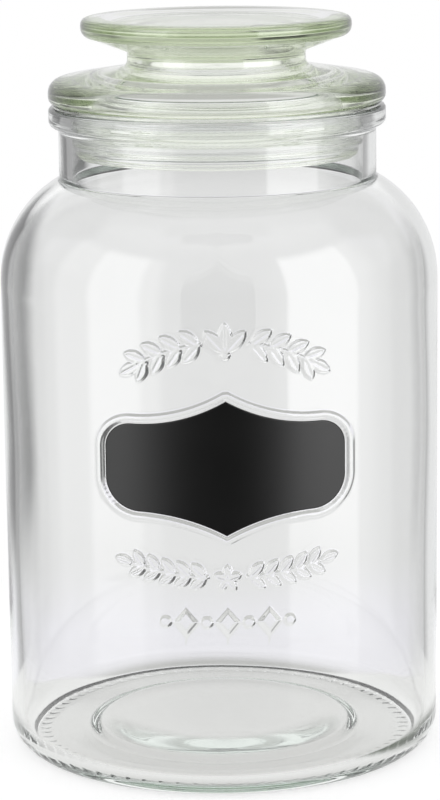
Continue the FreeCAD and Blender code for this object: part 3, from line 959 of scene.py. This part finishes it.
REFLECTED_GROUND = (0.85, 0.85, 0.86, 1)
REFLECTED = (
    ((-100, 100, 30), ALL, (0.30, 0.30, 0.31)),         # the room in front is dim
    ((-14, 14, 22), ALL, (0.04, 0.04, 0.04)),           # and dark behind the camera
    ((60, 76, 20), BOX_LEVELS, (1.7, 1.7, 1.7)),        # glow beside the right box
    ((36, 73, 4), BOX_LEVELS, (3.7, 3.7, 3.7)),         # right soft box
    ((-92, -37, 8), BOX_LEVELS, (1.4, 1.4, 1.4)),       # glow round the left box
    ((-70, -46, 6), BOX_LEVELS, (3.1, 3.1, 3.1)),       # left soft box
    (ALL, (58, 90, 16), (0.80, 0.80, 0.81)),            # ceiling
)

THROUGH_GROUND = (0.82, 0.82, 0.82, 1)
THROUGH = (
    (ALL, (-1, 20, 7), (0.74, 0.74, 0.74)),             # middle of the backdrop
    (ALL, (-50, -16.5, 1.6), (0.885, 0.877, 0.92)),     # its sweep towards the floor
    (ALL, (16, 80, 10), (1.08, 1.08, 1.08)),            # its top and the ceiling
    (ALL, (-90, -27, 6), (0.50, 0.50, 0.49)),           # the floor past the board
    ((130, 160, 8), FLAG_LEVELS, (0.76, 0.76, 0.76)),   # grey flags at the back corners
    ((128, 141, 10), FLAG_LEVELS, (0.34, 0.34, 0.34)),
    ((-150, -126, 10), FLAG_LEVELS, (0.34, 0.34, 0.34)),
    ((-166.5, -153, 5), STRIP_LEVELS, (0.05, 0.05, 0.05)),  # black strip at the left
    ((38, 76, 10), ALL, (1.0, 1.0, 1.0)),               # white walls beside the camera
    ((-76, -38, 10), ALL, (1.0, 1.0, 1.0)),
)


def layered(tree, turn, level, ground, layers):
    """Colour of the studio: its ground, with each layer mixed over it by its zone."""
    colour = ground
    for sides, levels, tone in layers:
        steps = []
        for value, reach in ((turn, sides), (level, levels)):
            if reach is not ALL:
                low, high, soft = (math.radians(angle) for angle in reach)
                steps += [(value, low - soft, low), (value, high + soft, high)]
        colour = add(tree, "ShaderNodeMix", {"data_type": "RGBA"}, Factor=zone(tree, *steps),
                     A=colour, B=(*tone, 1)).outputs["Result"]
    return colour


def make_studio():
    """Light from all round, white to a direct look and to matt things.

    Reflections see two tall soft boxes in a dim room.  Rays through glass see a
    pale backdrop with grey flags at the back corners, which draw the glass's edges.
    """
    world = bpy.data.worlds.new("studio")
    bpy.context.scene.world = world
    world.use_nodes = True
    tree = world.node_tree
    tree.nodes.clear()
    out = add(tree, "ShaderNodeOutputWorld")
    place = add(tree, "ShaderNodeTexCoord")
    way = add(tree, "ShaderNodeSeparateXYZ", Vector=place.outputs["Generated"])
    ahead = add(tree, "ShaderNodeMath", {"operation": "MULTIPLY"}, _0=way.outputs["Y"], _1=-1.0)
    turn = add(tree, "ShaderNodeMath", {"operation": "ARCTAN2"},
               _0=way.outputs["X"], _1=ahead.outputs[0]).outputs[0]
    level = add(tree, "ShaderNodeMath", {"operation": "ARCSINE"}, _0=way.outputs["Z"]).outputs[0]
    reflected = layered(tree, turn, level, REFLECTED_GROUND, REFLECTED)
    through = layered(tree, turn, level, THROUGH_GROUND, THROUGH)
    ray = add(tree, "ShaderNodeLightPath")
    seen = WHITE
    for kind, colour in (("Is Glossy Ray", reflected), ("Is Transmission Ray", through),
                         ("Is Camera Ray", WHITE)):
        seen = add(tree, "ShaderNodeMix", {"data_type": "RGBA"}, Factor=ray.outputs[kind],
                   A=seen, B=colour).outputs["Result"]
    light = add(tree, "ShaderNodeBackground", Color=seen, Strength=1.0)
    tree.links.new(light.outputs[0], out.inputs["Surface"])
    return world


# ---- camera and render paths -------------------------------------------------

CAMERA_AWAY = 1.0841                # metres from the jar's axis
CAMERA_ASIDE = -0.0002
CAMERA_HIGH = 0.3565
CAMERA_PITCH = 11.94                # degrees below level
CAMERA_ROLL = 0.7
CAMERA_TURN = 1.2                   # degrees round the jar
LENS = 134.7                        # millimetres, on a 36 mm sensor


def make_camera():
    """A long lens a little above the lid, looking down on the jar.

    It is tilted and rolled at the origin, moved back and up, then turned round
    the jar's axis.
    """
    data = bpy.data.cameras.new("camera")
    data.sensor_width = 36.0
    data.lens = LENS
    data.clip_start = 0.05
    camera = bpy.data.objects.new("camera", data)
    spin = Matrix.Rotation(math.radians(-CAMERA_TURN), 4, "Z")
    place = spin @ Matrix.Translation((CAMERA_ASIDE, -CAMERA_AWAY, CAMERA_HIGH))
    tilt = Matrix.Rotation(math.radians(90 - CAMERA_PITCH), 4, "X")
    roll = Matrix.Rotation(math.radians(-CAMERA_ROLL), 4, "Z")
    camera.matrix_world = place @ tilt @ roll
    bpy.context.scene.collection.objects.link(camera)
    bpy.context.scene.camera = camera
    return camera


def lengthen_paths():
    """Lets light turn round often inside the thick edges of the glass."""
    cycles = bpy.context.scene.cycles
    cycles.max_bounces = 28
    cycles.glossy_bounces = 20
    cycles.transmission_bounces = 28


make_jar()
make_lid()
make_seal()
make_label()
make_floor()
make_studio()
make_camera()
lengthen_paths()
bpy.context.scene.view_settings.view_transform = "Standard"
